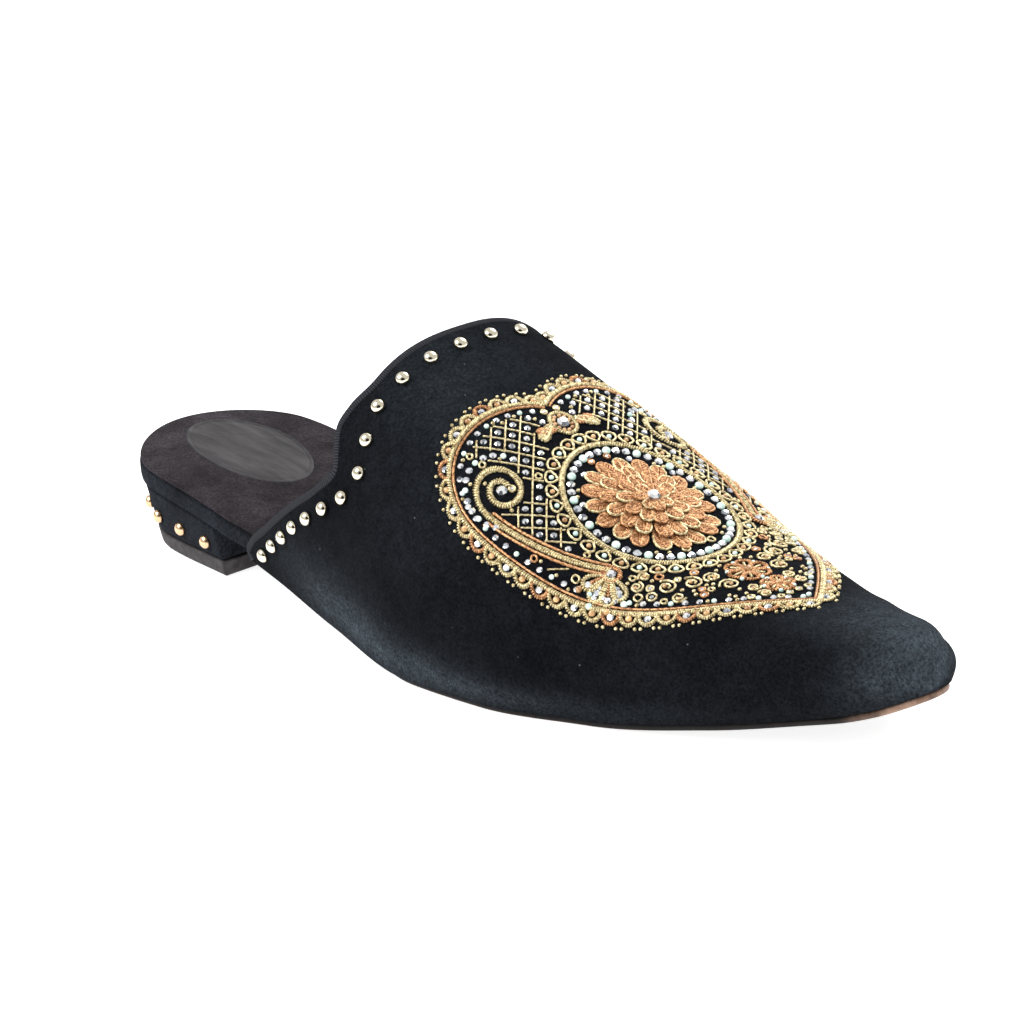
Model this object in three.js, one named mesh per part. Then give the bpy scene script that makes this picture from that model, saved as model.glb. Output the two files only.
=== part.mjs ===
// A backless pointed mule for the right foot: suede upper, wrapped footbed, leather outsole,
// low covered heel and rows of domed metal studs.
// Millimetres, +X towards the toe, +Y towards the inner side of the foot, +Z up.
import * as THREE from "three";

// Driving dimensions.
const LENGTH = 266; // heel back to toe tip
const WALL = 2.2; // suede, stiffener and lining together
const CORNER_WALL = 1.2; // thinner where the collar meets the sole
const GAP = 0.3; // between pieces that are glued or stitched together
const OUTSOLE_THICKNESS = 1.6;
const FOOTBED_AT_HEEL = 4.4;
const FOOTBED_AT_BALL = 2.6;
const INSOLE_THICKNESS = 1.2;
const HEEL_BREAST = 56; // distance of the heel's front face from the heel back
const TOP_PIECE_THICKNESS = 4;
const HEEL_BACK_RAKE = 3.5; // how far the heel's back leans in towards the floor
const HEEL_SIDE_TAPER = 0.93; // width of the heel at the floor over its width at the seat
const HEEL_INSET = 0.8; // the heel's cover stands in from the footbed's edge
const HEEL_ROUND = 26; // depth of the rounded back of the sole
const TOE_ROUND = 13; // depth of the rounded toe tip
const TOE_NOSE = 16; // length over which the upper turns down at the toe tip
const TOE_SWING = 3.5; // toe tip's shift towards the inner side
const OUTSOLE_INSET = 1.6; // the outsole's edge stands in under the upper's
const TOE_EDGE_INSET = 0.4; // and comes out almost flush at the toe tip
const SIDE_BULGE = 2; // the upper's side swells past its lower edge
const WAIST_TUCK = 3.2; // the outsole stands in further at the waist
const WALL_FULLNESS = 0.78; // under 1 is fuller across than an ellipse
const CROWN_FULLNESS = 0.62; // under 1 is fuller in height than an ellipse
const STUD_RADIUS = 1.7;
const STUD_HEIGHT = 1.3;
const STUD_BASE = 0.3; // straight rim under the dome
const COLLAR_STUDS = 25;
const HEEL_STUDS = 11;

// The last, one row for each section. s is the distance from the heel back, lateral and medial are
// half widths of the sole, tread is the height of the sole's underside, and crown is the height of
// the upper over its lower edge.
const LAST = [
  { s: 0, lateral: 22, medial: 21, tread: 15.6, crown: 66 },
  { s: 32, lateral: 28.5, medial: 22.8, tread: 14.2, crown: 66 },
  { s: 60, lateral: 31, medial: 21.4, tread: 11.4, crown: 66.5 },
  { s: 74, lateral: 33.2, medial: 23.4, tread: 9.4, crown: 67 },
  { s: 90, lateral: 35.2, medial: 26.6, tread: 7, crown: 67.5 },
  { s: 118, lateral: 40.2, medial: 32.4, tread: 3.6, crown: 65.7 },
  { s: 150, lateral: 44.4, medial: 39.4, tread: 0, crown: 53.4 },
  { s: 172, lateral: 43.4, medial: 40.4, tread: 0, crown: 41.4 },
  { s: 198, lateral: 35.9, medial: 35.4, tread: 0, crown: 29.9 },
  { s: 225, lateral: 26.6, medial: 25.8, tread: 2.8, crown: 22.6 },
  { s: 247, lateral: 17.8, medial: 17.2, tread: 6.8, crown: 17 },
  { s: 259, lateral: 13.4, medial: 13, tread: 9.7, crown: 14.6 },
  { s: 266, lateral: 11, medial: 11, tread: 12.2, crown: 13.4 },
];

// The collar edge: rise is the share of the section's height, s the distance from the heel back, and
// studs the distance from the edge to the row of studs, towards the toe.
const COLLAR = [
  { rise: 0, s: 77.5, studs: 7 },
  { rise: 0.03, s: 76.2, studs: 7 },
  { rise: 0.1, s: 79.8, studs: 7.6 },
  { rise: 0.2, s: 88.5, studs: 8.1 },
  { rise: 0.3, s: 97.2, studs: 8.1 },
  { rise: 0.4, s: 106.2, studs: 8.5 },
  { rise: 0.5, s: 115, studs: 8.4 },
  { rise: 0.6, s: 120.8, studs: 8.6 },
  { rise: 0.72, s: 119.3, studs: 12.9 },
  { rise: 0.8, s: 121.2, studs: 7.8 },
  { rise: 0.9, s: 124.2, studs: 5.2 },
  { rise: 1, s: 124.6, studs: 5.2 },
];

const SUEDE = { color: 0x101318, roughness: 0.95, metalness: 0 };
const SOCK = { color: 0x2a2629, roughness: 0.9, metalness: 0 };
const LEATHER = { color: 0x2b211c, roughness: 0.6, metalness: 0 };
const RUBBER = { color: 0x3d383a, roughness: 0.8, metalness: 0 };
const GOLD = { color: 0xd9b56f, roughness: 0.25, metalness: 1 };

// Monotone cubic through one column of a table: equal neighbours stay exactly level between rows.
function column(rows, along, name) {
  const x = rows.map((row) => row[along]);
  const y = rows.map((row) => row[name]);
  const slope = x.slice(1).map((next, i) => (y[i + 1] - y[i]) / (next - x[i]));
  const tangent = x.map((_, i) => {
    if (i === 0) return slope[0];
    if (i === x.length - 1) return slope[i - 1];
    const [before, after] = [slope[i - 1], slope[i]];
    return before * after <= 0 ? 0 : (2 * before * after) / (before + after);
  });
  return (at) => {
    let i = 0;
    while (i < x.length - 2 && at > x[i + 1]) i += 1;
    const step = x[i + 1] - x[i];
    const t = THREE.MathUtils.clamp((at - x[i]) / step, 0, 1);
    const rest = 1 - t;
    const ends = y[i] * rest * rest * (1 + 2 * t) + y[i + 1] * t * t * (3 - 2 * t);
    return ends + step * t * rest * (tangent[i] * rest - tangent[i + 1] * t);
  };
}

const lateralAt = column(LAST, "s", "lateral");
const medialAt = column(LAST, "s", "medial");
const treadAt = column(LAST, "s", "tread");
const crownAt = column(LAST, "s", "crown");
const collarAt = column(COLLAR, "rise", "s");
const studInsetAt = column(COLLAR, "rise", "studs");

const seatAt = (s) => treadAt(s) + OUTSOLE_THICKNESS;
const swingAt = (s) => TOE_SWING * Math.max(0, (2 * s) / LENGTH - 1) ** 1.5;
const quarterEllipse = (share) => Math.sqrt(1 - THREE.MathUtils.clamp(share, 0, 1) ** 2);
const bluntNose = (share) => Math.sqrt(1 - THREE.MathUtils.clamp(share, 0, 1) ** 3);

// Half widths of the sole's outline at s, drawn in by inset all round.
function outline(s, inset) {
  const heelEnd = quarterEllipse((HEEL_ROUND - s) / HEEL_ROUND);
  const toeEnd = quarterEllipse((s - (LENGTH - inset - TOE_ROUND)) / TOE_ROUND);
  const ends = heelEnd * toeEnd;
  return { lateral: (lateralAt(s) - inset) * ends, medial: (medialAt(s) - inset) * ends };
}

// A section of the upper runs from turn 0 to turn 1, with its points closer together at the lower edges.
const sectionAngle = (turn) => (Math.PI / 2) * (1 - Math.cos(Math.PI * turn));
const riseAt = (turn) => Math.max(0, Math.sin(sectionAngle(turn))) ** CROWN_FULLNESS;

const THICKENS_FROM = 82; // the wall has its corner thickness up to here
const THICKENS_TO = 106; // and its full thickness from here on

function wallAt(s) {
  const share = THREE.MathUtils.smoothstep(s, THICKENS_FROM, THICKENS_TO);
  return THREE.MathUtils.lerp(CORNER_WALL, WALL, share);
}

// A point of the upper, where turn runs from 0 at the outer side's lower edge, over the crown, to 1
// at the inner side's. Depth is 0 on the outer face and 1 on the lining.
function upperPoint(s, turn, depth) {
  const inset = depth * wallAt(s);
  const across = Math.abs(Math.cos(sectionAngle(turn))) ** WALL_FULLNESS;
  const rise = riseAt(turn);
  const { lateral, medial } = outline(s, inset);
  const bulge = SIDE_BULGE * Math.sin(Math.PI * Math.min(1, rise / 0.6));
  const nose = bluntNose((s - (LENGTH - inset - TOE_NOSE)) / TOE_NOSE);
  const y = turn < 0.5 ? -lateral * across - bulge * nose : medial * across + bulge * nose;
  const height = (crownAt(s) - inset) * nose * rise;
  return new THREE.Vector3(s, y + swingAt(s), seatAt(s) + GAP + height);
}

const collarS = (turn) => collarAt(riseAt(turn));
const studS = (turn) => collarS(turn) + studInsetAt(riseAt(turn));

// A closed solid through sections, each made of two rows of points with the same count. Points that
// coincide are shared, so an end may narrow to a line or a point.
function pairedLoft(sections) {
  const positions = [];
  const known = new Map();
  const indexOf = (p) => {
    const key = p.toArray().map((v) => v.toFixed(3)).join();
    if (!known.has(key)) {
      known.set(key, positions.length / 3);
      positions.push(p.x, p.y, p.z);
    }
    return known.get(key);
  };
  const triangles = [];
  const addTriangle = (a, b, c) => {
    if (a !== b && b !== c && c !== a) triangles.push(a, b, c);
  };
  const addQuad = (a, b, c, d) => {
    addTriangle(a, b, c);
    addTriangle(a, c, d);
  };
  const rings = sections.map(([front, back]) => [...front, ...back.slice().reverse()].map(indexOf));
  const count = rings[0].length;
  for (let i = 0; i < rings.length - 1; i += 1) {
    for (let j = 0; j < count; j += 1) {
      const next = (j + 1) % count;
      addQuad(rings[i][j], rings[i + 1][j], rings[i + 1][next], rings[i][next]);
    }
  }
  const cap = (ring, turned) => {
    for (let j = 0; j < count / 2 - 1; j += 1) {
      const quad = [ring[j], ring[j + 1], ring[count - 2 - j], ring[count - 1 - j]];
      addQuad(...(turned ? quad.reverse() : quad));
    }
  };
  cap(rings[0], false);
  cap(rings[rings.length - 1], true);
  const geometry = new THREE.BufferGeometry();
  geometry.setAttribute("position", new THREE.Float32BufferAttribute(positions, 3));
  geometry.setIndex(triangles);
  return facingOut(geometry);
}

// Turns the triangles round if the closed surface encloses a negative volume.
function facingOut(geometry) {
  const p = geometry.getAttribute("position");
  const index = geometry.getIndex();
  const corner = (i) => new THREE.Vector3().fromBufferAttribute(p, index.getX(i));
  let volume = 0;
  for (let i = 0; i < index.count; i += 3) {
    volume += corner(i).dot(corner(i + 1).cross(corner(i + 2)));
  }
  if (volume < 0) {
    const turned = Array.from(index.array);
    geometry.setIndex(turned.reverse());
  }
  geometry.computeVertexNormals();
  return geometry;
}

const range = (count) => Array.from({ length: count + 1 }, (_, i) => i / count);

// Stations from start to end, closer together where an end is rounded.
function stations(start, end, count, roundStart, roundEnd) {
  return range(count).map((t) => {
    const atStart = roundStart ? t * t * (roundEnd ? 3 - 2 * t : 2 - t) : t;
    const eased = roundEnd && !roundStart ? 1 - (1 - t) ** 2 : atStart;
    return start + (end - start) * eased;
  });
}

// A row of points across the sole at s, from the outer to the inner edge.
function rowAcross(s, halves, z, count) {
  return range(count).map((t) => {
    const y = -halves.lateral + (halves.lateral + halves.medial) * t;
    return new THREE.Vector3(s, y + swingAt(s), z);
  });
}

const shoe = new THREE.Group();

function addPiece(name, geometry, look) {
  const mesh = new THREE.Mesh(geometry, new THREE.MeshStandardMaterial(look));
  mesh.name = name;
  shoe.add(mesh);
  return mesh;
}

// Upper: one hollow wall from the collar to the toe, open underneath and at the back.
const TURN_STEPS = 30;
const LENGTH_STEPS = 34;

function upperSection(share, depth) {
  const tip = LENGTH - depth * WALL;
  return range(TURN_STEPS).map((turn) => {
    const start = collarS(turn);
    return upperPoint(start + (tip - start) * share, turn, depth);
  });
}

function buildUpper() {
  const shares = stations(0, 1, LENGTH_STEPS, false, true);
  return pairedLoft(shares.map((share) => [upperSection(share, 0), upperSection(share, 1)]));
}

// Outsole: a thin leather sole from the heel's front face to the toe, flat under the ball of the foot.
const ACROSS_STEPS = 4;

const WAIST_END = 112; // the waist's tuck is full up to here
const BALL_START = 148; // and has run out from here on
const FLUSH_FROM = 236; // the edge starts to come out here

function outsoleInset(s) {
  const waist = 1 - THREE.MathUtils.smoothstep(s, WAIST_END, BALL_START);
  const toe = THREE.MathUtils.smoothstep(s, FLUSH_FROM, LENGTH);
  return THREE.MathUtils.lerp(OUTSOLE_INSET, TOE_EDGE_INSET, toe) + WAIST_TUCK * waist;
}

function buildOutsole() {
  const cuts = stations(HEEL_BREAST + GAP, LENGTH - TOE_EDGE_INSET, 30, false, true);
  return pairedLoft(
    cuts.map((s) => [
      rowAcross(s, outline(s, outsoleInset(s)), treadAt(s), ACROSS_STEPS),
      rowAcross(s, outline(s, outsoleInset(s)), seatAt(s), ACROSS_STEPS),
    ]),
  );
}

// Footbed: the wrapped board that shows as a band behind the collar and lies inside the upper before it.
const FOOTBED_TIP = LENGTH - 9;
const INSIDE_FROM = 62; // the wrapped edge starts to draw in here
const INSIDE_TO = 75; // and lies within the upper from here on
const insideShare = (s) => THREE.MathUtils.smoothstep(s, INSIDE_FROM, INSIDE_TO);
const footbedThickness = (s) =>
  THREE.MathUtils.lerp(FOOTBED_AT_HEEL, FOOTBED_AT_BALL, THREE.MathUtils.smoothstep(s, 70, 150));
const footbedTop = (s) => seatAt(s) + GAP + footbedThickness(s);

function footbedHalves(s) {
  const { lateral, medial } = outline(s, (wallAt(s) + 2 * GAP) * insideShare(s));
  const toeEnd = quarterEllipse((s - (FOOTBED_TIP - TOE_ROUND)) / TOE_ROUND);
  return { lateral: lateral * toeEnd, medial: medial * toeEnd };
}

function layer(bottom, top, steps) {
  const even = stations(0, FOOTBED_TIP, steps, true, true);
  const outside = even.filter((s) => s < INSIDE_FROM - 1 || s > INSIDE_TO + 1);
  const cuts = [...outside, INSIDE_FROM, (INSIDE_FROM + INSIDE_TO) / 2, INSIDE_TO].sort((a, b) => a - b);
  return pairedLoft(
    cuts.map((s) => [
      rowAcross(s, footbedHalves(s), bottom(s), ACROSS_STEPS),
      rowAcross(s, footbedHalves(s), top(s), ACROSS_STEPS),
    ]),
  );
}

// Heel and top piece: a covered block that tapers to the floor, and its rubber lift.
const heelForward = (s) => HEEL_BACK_RAKE + (s * (HEEL_BREAST - HEEL_BACK_RAKE)) / HEEL_BREAST;

function heelRow(s, z, lean) {
  const { lateral, medial } = outline(s, HEEL_INSET);
  const taper = THREE.MathUtils.lerp(1, HEEL_SIDE_TAPER, lean);
  const along = THREE.MathUtils.lerp(Math.max(s, HEEL_INSET), heelForward(s), lean);
  return rowAcross(along, { lateral: lateral * taper, medial: medial * taper }, z, ACROSS_STEPS);
}

const heelCuts = stations(0, HEEL_BREAST, 18, true, false);
const TOP_PIECE_LEAN = 0.75;

function buildHeel() {
  return pairedLoft(
    heelCuts.map((s) => [heelRow(s, TOP_PIECE_THICKNESS + GAP, TOP_PIECE_LEAN), heelRow(s, seatAt(s), 0)]),
  );
}

function buildTopPiece() {
  return pairedLoft(
    heelCuts.map((s) => [heelRow(s, 0, 1), heelRow(s, TOP_PIECE_THICKNESS, TOP_PIECE_LEAN)]),
  );
}

// A domed stud standing on a point, along a direction.
function addStud(name, foot, direction) {
  const dome = range(3).map((t) => {
    const angle = (t * Math.PI) / 2;
    const height = STUD_BASE + (STUD_HEIGHT - STUD_BASE) * Math.sin(angle);
    return new THREE.Vector2(t === 1 ? 0 : STUD_RADIUS * Math.cos(angle), height);
  });
  const profile = [new THREE.Vector2(0, 0), new THREE.Vector2(STUD_RADIUS, 0), ...dome];
  const stud = addPiece(name, new THREE.LatheGeometry(profile, 10), GOLD);
  stud.position.copy(foot).addScaledVector(direction, GAP);
  stud.quaternion.setFromUnitVectors(new THREE.Vector3(0, 1, 0), direction);
}

// Collar studs: a row that runs a set distance inside the collar edge, closer together at the low corners.
const TURN_NUDGE = 0.002;
const S_NUDGE = 0.5;

function surfaceNormal(s, turn) {
  const alongS = upperPoint(s + S_NUDGE, turn, 0).sub(upperPoint(s - S_NUDGE, turn, 0));
  const alongTurn = upperPoint(s, turn + TURN_NUDGE, 0).sub(upperPoint(s, turn - TURN_NUDGE, 0));
  return alongS.cross(alongTurn).normalize();
}

// Places along a dense run of points that split its length into steps. Spacing gives the relative length
// of a step at a share of the run.
function spaced(points, count, spacing) {
  const reach = [0];
  points.slice(1).forEach((p, i) => {
    const share = (i + 0.5) / (points.length - 1);
    reach.push(reach[i] + p.distanceTo(points[i]) / spacing(share));
  });
  const total = reach[reach.length - 1];
  return range(count - 1).map((share) => {
    const wanted = share * total;
    const i = Math.max(1, reach.findIndex((r) => r >= wanted - 1e-6));
    return i - 1 + (wanted - reach[i - 1]) / (reach[i] - reach[i - 1]);
  });
}

const padded = (i) => String(i + 1).padStart(2, "0");
const FIRST_STUD_TURN = 0.046;
const DENSE_STEPS = 240;
const STUD_CROWDING = 0.06; // how much shorter than the mean the shortest step between studs is
const CROWDED_SHARE = 0.12; // where along the row, from the outer corner, that step lies
const collarSpacing = (share) => 1 - STUD_CROWDING * Math.cos(2 * Math.PI * (share - CROWDED_SHARE));
const evenSpacing = () => 1;

function addCollarStuds() {
  const turnAt = (share) => FIRST_STUD_TURN + (1 - 2 * FIRST_STUD_TURN) * share;
  const line = range(DENSE_STEPS).map((share) => upperPoint(studS(turnAt(share)), turnAt(share), 0));
  spaced(line, COLLAR_STUDS, collarSpacing).forEach((place, i) => {
    const turn = turnAt(place / DENSE_STEPS);
    const foot = upperPoint(studS(turn), turn, 0);
    addStud(`collar_stud_${padded(i)}`, foot, surfaceNormal(studS(turn), turn));
  });
}

// Heel studs: one row round the heel at half the height of its cover.
const HEEL_STUD_LEAN = 0.4;
const LAST_HEEL_STUD = HEEL_BREAST - 6;

function heelSidePoint(t) {
  const side = t < 0 ? 0 : ACROSS_STEPS;
  const s = LAST_HEEL_STUD * t * t;
  const low = heelRow(s, TOP_PIECE_THICKNESS + GAP, TOP_PIECE_LEAN)[side];
  return low.lerp(heelRow(s, seatAt(s), 0)[side], HEEL_STUD_LEAN);
}

function addHeelStuds() {
  const shares = range(DENSE_STEPS).map((t) => 2 * t - 1);
  const line = shares.map(heelSidePoint);
  spaced(line, HEEL_STUDS, evenSpacing).forEach((place, i) => {
    const t = (2 * place) / DENSE_STEPS - 1;
    const foot = heelSidePoint(t);
    const tangent = heelSidePoint(t + TURN_NUDGE).sub(heelSidePoint(t - TURN_NUDGE));
    const outward = new THREE.Vector3(-tangent.y, tangent.x, 0).normalize();
    addStud(`heel_stud_${padded(i)}`, foot, outward);
  });
}

addPiece("upper", buildUpper(), SUEDE);
addPiece("outsole", buildOutsole(), LEATHER);
addPiece("footbed", layer((s) => seatAt(s) + GAP, footbedTop, 34), SUEDE);
const insoleBottom = (s) => footbedTop(s) + GAP;
addPiece("insole", layer(insoleBottom, (s) => insoleBottom(s) + INSOLE_THICKNESS, 34), SOCK);
addPiece("heel", buildHeel(), SUEDE);
addPiece("top_piece", buildTopPiece(), RUBBER);
addCollarStuds();
addHeelStuds();

// The origin is under the middle of the shoe's box, on the floor.
const box = new THREE.Box3().setFromObject(shoe);
const middle = box.getCenter(new THREE.Vector3());
shoe.position.set(-middle.x, -middle.y, -box.min.z);

const mule = new THREE.Group();
mule.add(shoe);

export default mule;
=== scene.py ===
import math

import bpy
import numpy as np
from mathutils import Matrix, Vector
from mathutils.kdtree import KDTree


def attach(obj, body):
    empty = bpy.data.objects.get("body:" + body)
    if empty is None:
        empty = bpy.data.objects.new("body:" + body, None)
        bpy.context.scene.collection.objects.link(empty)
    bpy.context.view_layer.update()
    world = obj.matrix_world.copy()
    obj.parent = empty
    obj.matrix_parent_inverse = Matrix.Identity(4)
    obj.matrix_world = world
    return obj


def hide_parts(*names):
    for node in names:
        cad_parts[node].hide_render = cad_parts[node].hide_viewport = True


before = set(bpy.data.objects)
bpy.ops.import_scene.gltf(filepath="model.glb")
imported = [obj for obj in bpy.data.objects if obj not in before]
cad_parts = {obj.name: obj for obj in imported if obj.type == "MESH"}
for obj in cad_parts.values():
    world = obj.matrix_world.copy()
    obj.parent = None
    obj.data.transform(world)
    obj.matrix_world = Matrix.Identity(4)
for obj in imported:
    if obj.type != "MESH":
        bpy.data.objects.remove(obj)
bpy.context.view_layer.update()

# Sizes of the shoe, the same as the solids have, in millimetres.
MM = 0.001
SHIFT = np.array([-133.0, 1.6263, 0.0])
LENGTH = 266.0
WALL = 2.2
CORNER_WALL = 1.2
GAP = 0.3
OUTSOLE_THICKNESS = 1.6
FOOTBED_AT_HEEL = 4.4
FOOTBED_AT_BALL = 2.6
INSOLE_THICKNESS = 1.2
HEEL_BREAST = 56.0
TOP_PIECE_THICKNESS = 4.0
HEEL_BACK_RAKE = 3.5
HEEL_SIDE_TAPER = 0.93
HEEL_INSET = 0.8
HEEL_ROUND = 26.0
TOE_ROUND = 13.0
TOE_NOSE = 16.0
TOE_SWING = 3.5
OUTSOLE_INSET = 1.6
TOE_EDGE_INSET = 0.4
SIDE_BULGE = 2.0
BULGE_ENDS_AT = 0.6
WAIST_TUCK = 3.2
WALL_FULLNESS = 0.78
CROWN_FULLNESS = 0.62
STUD_RADIUS = 1.7
STUD_HEIGHT = 1.3
COLLAR_STUDS = 25
HEEL_STUDS = 11
FIRST_STUD_TURN = 0.046
STUD_CROWDING = 0.06
CROWDED_SHARE = 0.12
TOP_PIECE_LEAN = 0.75
HEEL_STUD_LEAN = 0.4
LAST_HEEL_STUD = HEEL_BREAST - 6
FOOTBED_TIP = LENGTH - 9
# Stations along the shoe between which something changes.
WALL_THICKENS = (82, 106)
FOOTBED_GOES_INSIDE = (62, 75)
FOOTBED_THINS = (70, 150)
WAIST_TUCKS_IN = (148, 112)
TOE_EDGE_COMES_OUT = (236, LENGTH)

# The last: distance from the heel back, half widths, underside of the sole, height of the upper.
LAST = dict(
    s=[0, 32, 60, 74, 90, 118, 150, 172, 198, 225, 247, 259, 266],
    lateral=[22, 28.5, 31, 33.2, 35.2, 40.2, 44.4, 43.4, 35.9, 26.6, 17.8, 13.4, 11],
    medial=[21, 22.8, 21.4, 23.4, 26.6, 32.4, 39.4, 40.4, 35.4, 25.8, 17.2, 13, 11],
    tread=[15.6, 14.2, 11.4, 9.4, 7, 3.6, 0, 0, 0, 2.8, 6.8, 9.7, 12.2],
    crown=[66, 66, 66.5, 67, 67.5, 65.7, 53.4, 41.4, 29.9, 22.6, 17, 14.6, 13.4],
)
# The collar by share of the rise: its place, and how far in from it the studs stand.
COLLAR = dict(
    rise=[0, 0.03, 0.1, 0.2, 0.3, 0.4, 0.5, 0.6, 0.72, 0.8, 0.9, 1],
    s=[77.5, 76.2, 79.8, 88.5, 97.2, 106.2, 115, 120.8, 119.3, 121.2, 124.2, 124.6],
    studs=[7, 7, 7.6, 8.1, 8.1, 8.5, 8.4, 8.6, 12.9, 7.8, 5.2, 5.2],
)

rng = np.random.RandomState(11)


def column(table, along, name):
    """Monotone cubic through one column of a table."""
    x = np.array(table[along], float)
    y = np.array(table[name], float)
    slope = np.diff(y) / np.diff(x)
    before, after = slope[:-1], slope[1:]
    total = np.where(before + after == 0, 1, before + after)
    inner = np.where(before * after > 0, 2 * before * after / total, 0)
    tangent = np.concatenate([slope[:1], inner, slope[-1:]])

    def at(place):
        place = np.asarray(place, float)
        i = np.clip(np.searchsorted(x, place) - 1, 0, len(x) - 2)
        step = x[i + 1] - x[i]
        t = np.clip((place - x[i]) / step, 0, 1)
        rest = 1 - t
        ends = y[i] * rest * rest * (1 + 2 * t) + y[i + 1] * t * t * (3 - 2 * t)
        return ends + step * t * rest * (tangent[i] * rest - tangent[i + 1] * t)

    return at


lateral_at, medial_at, tread_at, crown_at = (
    column(LAST, "s", name) for name in ("lateral", "medial", "tread", "crown")
)
collar_at, stud_inset_at = (column(COLLAR, "rise", name) for name in ("s", "studs"))


def seat_at(s):
    return tread_at(s) + OUTSOLE_THICKNESS


def swing_at(s):
    return TOE_SWING * np.maximum(0, 2 * np.asarray(s, float) / LENGTH - 1) ** 1.5


def quarter_ellipse(share):
    return np.sqrt(np.maximum(0, 1 - np.clip(share, 0, 1) ** 2))


def blunt_nose(share):
    return np.sqrt(1 - np.clip(share, 0, 1) ** 3)


def smoothstep(low, high, x):
    t = np.clip((np.asarray(x, float) - low) / (high - low), 0, 1)
    return t * t * (3 - 2 * t)


def outline(s, inset):
    ends = quarter_ellipse((HEEL_ROUND - s) / HEEL_ROUND)
    ends = ends * quarter_ellipse((s - (LENGTH - inset - TOE_ROUND)) / TOE_ROUND)
    return (lateral_at(s) - inset) * ends, (medial_at(s) - inset) * ends


def section_angle(turn):
    return math.pi / 2 * (1 - np.cos(math.pi * np.asarray(turn, float)))


def rise_at(turn):
    return np.maximum(0, np.sin(section_angle(turn))) ** CROWN_FULLNESS


def wall_at(s):
    return CORNER_WALL + (WALL - CORNER_WALL) * smoothstep(*WALL_THICKENS, s)


def upper_point(s, turn, depth=0.0):
    """A point of the upper. Turn 0 is the outer side's lower edge, 0.5 the crown, 1 the inner side's."""
    s, turn = np.broadcast_arrays(np.asarray(s, float), np.asarray(turn, float))
    inset = depth * wall_at(s)
    across = np.abs(np.cos(section_angle(turn))) ** WALL_FULLNESS
    rise = rise_at(turn)
    lateral, medial = outline(s, inset)
    nose = blunt_nose((s - (LENGTH - inset - TOE_NOSE)) / TOE_NOSE)
    bulge = SIDE_BULGE * np.sin(math.pi * np.minimum(1, rise / BULGE_ENDS_AT)) * nose
    y = np.where(turn < 0.5, -lateral * across - bulge, medial * across + bulge)
    z = seat_at(s) + GAP + (crown_at(s) - inset) * nose * rise
    return np.stack([s, y + swing_at(s), z], -1)


def unit(v):
    return v / np.maximum(np.linalg.norm(v, axis=-1, keepdims=True), 1e-9)


def reach_of(points):
    """Length along a run of points, from its first point to each."""
    return np.concatenate([[0], np.cumsum(np.linalg.norm(np.diff(points, axis=0), axis=1))])


def upper_normal(s, turn, step_s=0.4, step_turn=0.002):
    s, turn = np.asarray(s), np.asarray(turn)
    along_s = upper_point(s + step_s, turn) - upper_point(s - step_s, turn)
    along_turn = upper_point(s, turn + step_turn) - upper_point(s, turn - step_turn)
    return unit(np.cross(along_s, along_turn))


def collar_s(turn):
    return collar_at(rise_at(turn))


def stud_s(turn):
    return collar_s(turn) + stud_inset_at(rise_at(turn))


# Mesh helpers.
def new_object(name, data):
    thing = bpy.data.objects.new(name, data)
    bpy.context.scene.collection.objects.link(thing)
    return thing


def mesh(name, points, faces, materials, node=None, uv=None, face_material=None, smooth=True):
    """A piece from points in millimetres, put where the solids are."""
    data = bpy.data.meshes.new(name)
    data.from_pydata(((np.asarray(points) + SHIFT) * MM).tolist(), [], [list(map(int, f)) for f in faces])
    for look in materials:
        data.materials.append(look)
    if uv is not None:
        layer = data.uv_layers.new(name="UVMap")
        corners = np.empty(len(data.loops), int)
        data.loops.foreach_get("vertex_index", corners)
        layer.data.foreach_set("uv", np.asarray(uv, np.float32)[corners].ravel())
    data.polygons.foreach_set("use_smooth", np.full(len(data.polygons), smooth))
    if face_material is not None:
        data.polygons.foreach_set("material_index", np.asarray(face_material, np.int32))
    data.validate()
    data.update()
    piece = new_object(name, data)
    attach(piece, "root")
    if node:
        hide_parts(*([node] if isinstance(node, str) else node))
    return piece


def distinct(face):
    kept = [v for i, v in enumerate(face) if v != face[i - 1]]
    return kept if len(set(kept)) > 2 else None


def grid_faces(index, turned=False):
    """Faces over a two-way array of vertex numbers, where equal neighbours fall together."""
    a, b, c, d = index[:-1, :-1], index[1:, :-1], index[1:, 1:], index[:-1, 1:]
    quads = np.stack([a, b, c, d], -1).reshape(-1, 4)
    if turned:
        quads = quads[:, ::-1]
    kept = [distinct(list(q)) for q in quads]
    return [f for f in kept if f]


def closed(index):
    """Vertex numbers with the first column again at the end."""
    return np.concatenate([index, index[:, :1]], 1)


def round_angles(sides):
    return np.arange(sides) * 2 * math.pi / sides


def value(node, name, x):
    node.inputs[name].default_value = x


def material(name, colour, roughness, metallic=0.0, specular=0.5):
    m = bpy.data.materials.new(name)
    m.use_nodes = True
    shader = m.node_tree.nodes["Principled BSDF"]
    value(shader, "Base Color", (*colour, 1))
    value(shader, "Roughness", roughness)
    value(shader, "Metallic", metallic)
    value(shader, "Specular IOR Level", specular)
    return m, m.node_tree, shader


def feed(tree, socket, x):
    """Links a socket to another node's output, or sets its number, vector or colour."""
    if isinstance(x, bpy.types.NodeSocket):
        tree.links.new(x, socket)
    else:
        socket.default_value = (*x, 1) if socket.type == "RGBA" else x


def add_node(tree, kind, inputs=None, **settings):
    """The outputs of a new shader node with these settings and inputs."""
    node = tree.nodes.new("ShaderNode" + kind)
    for name, x in settings.items():
        setattr(node, name, x)
    for name, x in (inputs or {}).items():
        feed(tree, node.inputs[name], x)
    return node.outputs


def coordinates(tree, kind):
    return add_node(tree, "TexCoord")[kind]


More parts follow.
